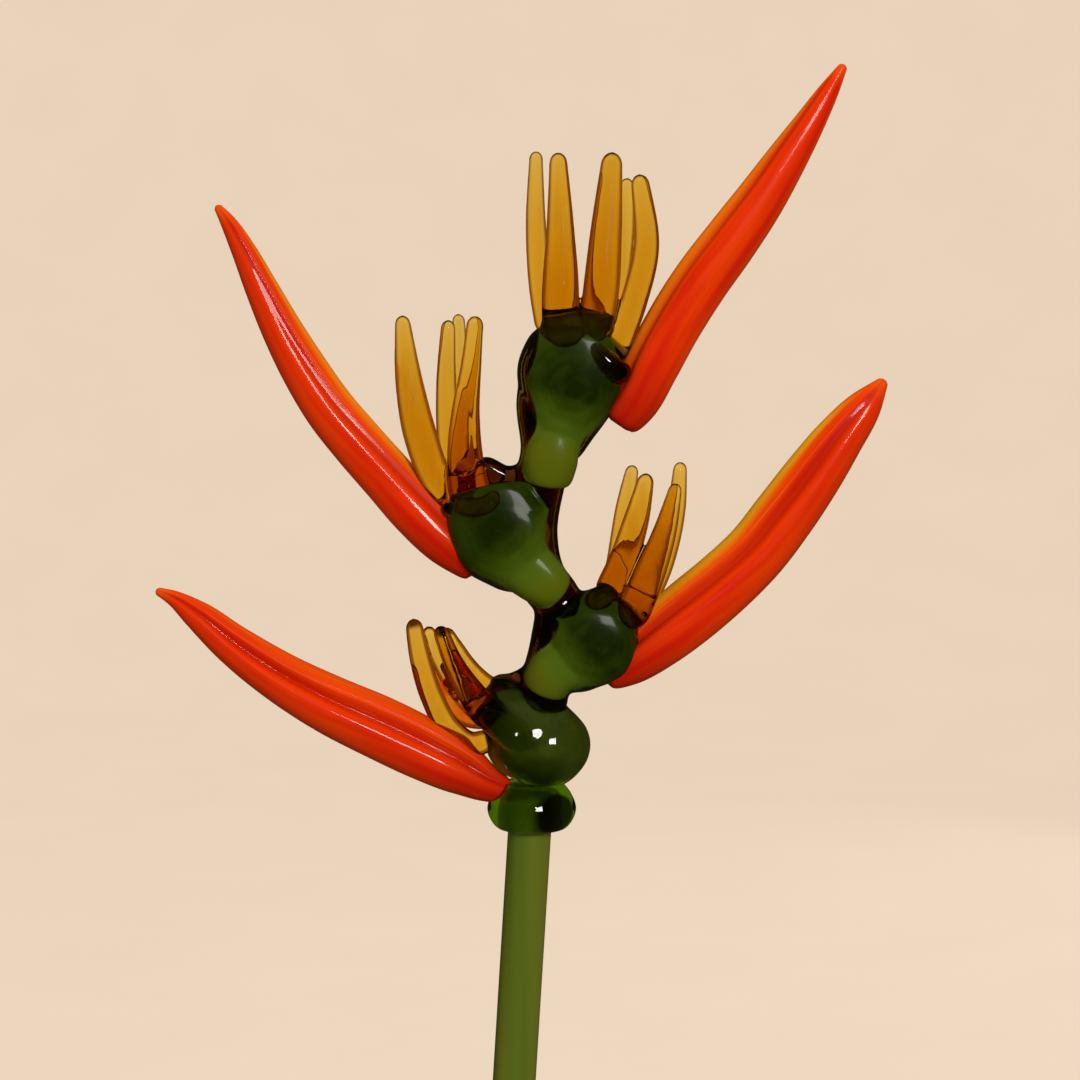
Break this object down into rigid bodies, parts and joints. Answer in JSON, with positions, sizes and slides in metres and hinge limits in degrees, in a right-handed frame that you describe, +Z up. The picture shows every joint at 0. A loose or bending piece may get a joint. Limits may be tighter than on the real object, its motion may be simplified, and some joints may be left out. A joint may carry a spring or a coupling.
{
  "type": "glass heliconia in vase",
  "caption": "Lampworked glass heliconia: a zigzag of dark glass bulbs with red bracts and amber florets, on a green rod in a clear bud vase.",
  "frame": {"origin": "centre of the vase's flat foot, on the surface that it stands on", "axes": "+Z up along the vase, -Y towards the viewer of the flower's front, +X to the viewer's right, where the stem leans"},
  "size_m": [0.1336, 0.0802, 0.4729],
  "materials": {
    "vase_glass": "clear colourless glass, polished",
    "stem_glass": "translucent mid-green glass, fire-polished",
    "heart_glass": "opaque leaf-green glass, lighter at the bare foot",
    "dark_glass": "transparent dark olive-brown glass, nearly black where thick",
    "collar_glass": "transparent dark green glass, fire-polished",
    "red_glass": "opaque red-orange glass, streaked lengthwise, with an orange-yellow rim",
    "amber_glass": "transparent amber glass, darker where it gathers at the root"
  },
  "bodies": {
    "root": {"vase": "vase_glass", "stem": "stem_glass", "collar": "collar_glass", "rachis": "dark_glass", "heart_2": "heart_glass", "heart_3": "heart_glass", "heart_4": "heart_glass", "bract_1": "red_glass", "florets_1": "amber_glass", "bract_2": "red_glass", "florets_2": "amber_glass", "bract_3": "red_glass", "florets_3": "amber_glass", "bract_4": "red_glass", "florets_4": "amber_glass"}
  },
  "joints": []
}
